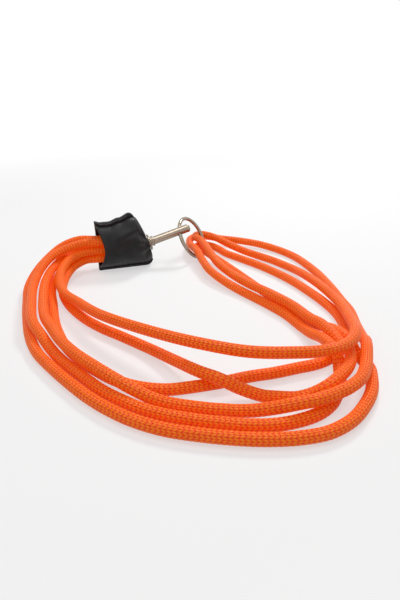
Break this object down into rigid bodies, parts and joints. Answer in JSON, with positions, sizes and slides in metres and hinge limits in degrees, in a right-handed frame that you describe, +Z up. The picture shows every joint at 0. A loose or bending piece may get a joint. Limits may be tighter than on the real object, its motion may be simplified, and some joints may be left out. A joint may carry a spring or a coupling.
{
  "type": "training bumper",
  "caption": "Looped braided cord sling crimped in a sewn leather end cap, with a swivel pin and a split-style ring that the cord loops turn through",
  "frame": {"origin": "Bottom centre of the leather cap, pin and ring, on the floor; the loose cords are left out", "axes": "+X runs out of the cap along the pin's heading, +Y is away from the loop's near side, +Z is up"},
  "size_m": [0.2146, 0.2482, 0.044],
  "materials": {
    "leather": "black satin leather",
    "thread": "waxed black thread",
    "nickel": "bright nickel plate",
    "cord": "braided synthetic cord"
  },
  "bodies": {
    "cap": {"leather_front_panel": "leather", "leather_back_panel": "leather", "seam_thread_top": "thread", "seam_thread_bottom": "thread", "cord_whipping": "thread", "swivel_cup": "nickel", "end_washer": "nickel", "thrust_washer": "nickel", "cord_1_run_a": "cord", "cord_1_bight": "cord", "cord_1_run_b": "cord", "cord_2_run_a": "cord", "cord_2_bight": "cord", "cord_2_run_b": "cord", "cord_3_run_a": "cord", "cord_3_bight": "cord", "cord_3_run_b": "cord"},
    "pin": {"swivel_pin": "nickel"},
    "ring": {"ring": "nickel"}
  },
  "joints": [
    {"name": "pin_swivel", "type": "hinge", "parent": "cap", "child": "pin", "pos_m": [-0.006, -0.005, 0.0185], "axis": [-0.9659, 0, -0.2588], "continuous": true, "deforming": ["cord_1_run_a", "cord_1_bight", "cord_1_run_b", "cord_2_run_a", "cord_2_bight", "cord_2_run_b", "cord_3_run_a", "cord_3_bight", "cord_3_run_b"]},
    {"name": "ring_turn", "type": "hinge", "parent": "pin", "child": "ring", "pos_m": [0.03239, 0.00177, 0.01622], "axis": [0.6634, -0.5567, 0.5], "continuous": true}
  ]
}
